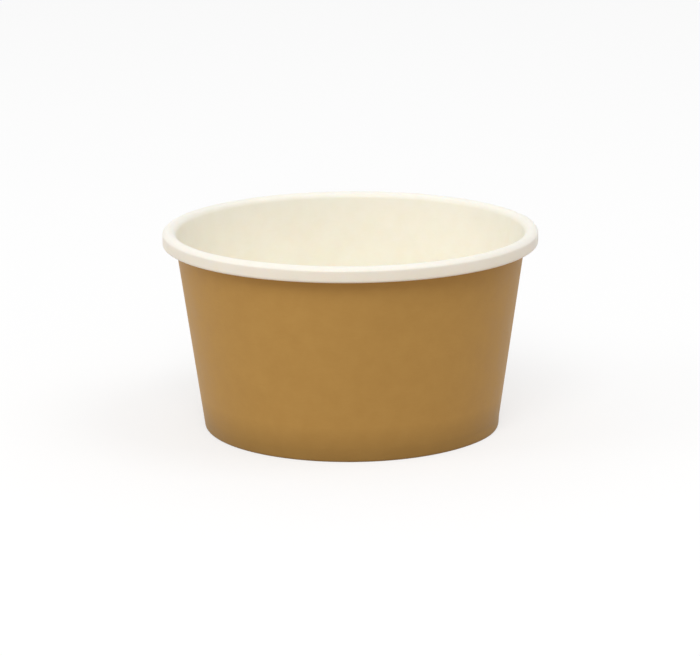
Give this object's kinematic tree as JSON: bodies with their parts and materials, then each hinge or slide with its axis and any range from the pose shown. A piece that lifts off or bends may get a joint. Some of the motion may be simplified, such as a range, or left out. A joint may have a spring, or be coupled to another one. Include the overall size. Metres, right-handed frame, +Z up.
{
  "type": "paper ice cream tub",
  "caption": "Short tapered paper tub for ice cream, brown outside and white inside, with a rolled rim, a lapped side seam and a raised base held in a folded hem.",
  "frame": {"origin": "centre of the foot, on the surface that the tub stands on", "axes": "+Z up, out of the mouth; -Y faces the picture's camera, and the side seam lies near +X"},
  "size_m": [0.092, 0.092, 0.0496],
  "materials": {
    "kraft_board": "satin brown kraft board with a white inside face",
    "white_board": "satin white coated board"
  },
  "bodies": {
    "root": {"sidewall": "kraft_board", "base": "white_board"}
  },
  "joints": []
}
